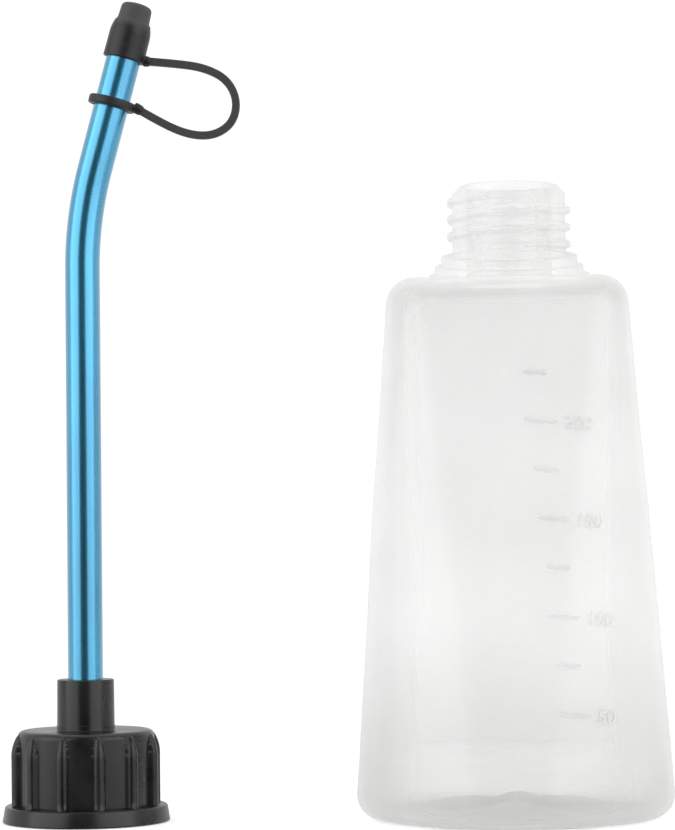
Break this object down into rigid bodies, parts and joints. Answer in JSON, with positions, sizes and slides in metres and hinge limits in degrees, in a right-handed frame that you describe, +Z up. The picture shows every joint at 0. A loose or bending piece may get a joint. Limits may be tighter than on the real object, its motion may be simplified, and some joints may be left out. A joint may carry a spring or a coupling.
{
  "type": "gear oil squeeze bottle",
  "caption": "Translucent squeeze bottle with graduation marks, and beside it its ribbed screw cap with a bent metal spout and a tethered rubber tip cap.",
  "frame": {"origin": "centre of the bottle's base, on the surface that bottle and cap stand on", "axes": "+Z up along the bottle's axis, +X from the cap towards the bottle, +Y away from the marked side"},
  "size_m": [0.1365, 0.0646, 0.1669],
  "materials": {
    "bottle_plastic": "natural translucent polyethylene, satin",
    "cap_plastic": "black moulded plastic, semi-gloss",
    "liner_foam": "white foamed liner",
    "seal_rubber": "black rubber",
    "anodised_tube": "bright blue anodised",
    "tether_rubber": "dark grey rubber",
    "tip_rubber": "black rubber, matt on the dome"
  },
  "bodies": {
    "bottle": {"bottle": "bottle_plastic"},
    "liner": {"cap_liner": "liner_foam"},
    "cap": {"screw_cap": "cap_plastic", "tube_seal": "seal_rubber"},
    "spout": {"spout_tube": "anodised_tube"},
    "tether": {"tether_ring": "tether_rubber", "tether_strap": "tether_rubber"},
    "tip": {"tip_cap": "tip_rubber"}
  },
  "joints": [
    {"name": "cap_lift", "type": "slide", "parent": "bottle", "child": "liner", "axis": [0, 0, 1], "range_m": [0, 0.15]},
    {"name": "cap_turn", "type": "hinge", "parent": "liner", "child": "cap", "pos_m": [-0.0872, 0, 0.01], "axis": [0, 0, 1], "continuous": true},
    {"name": "spout_swivel", "type": "hinge", "parent": "cap", "child": "spout", "pos_m": [-0.0872, 0, 0.0242], "axis": [0, 0, 1], "continuous": true},
    {"name": "tether_turn", "type": "hinge", "parent": "spout", "child": "tether", "pos_m": [-0.08447, 0, 0.13281], "axis": [0.2588, 0, 0.9659], "continuous": true},
    {"name": "tip_cap_pull", "type": "slide", "parent": "tether", "child": "tip", "axis": [0.2588, 0, 0.9659], "range_m": [0, 0.011]}
  ]
}
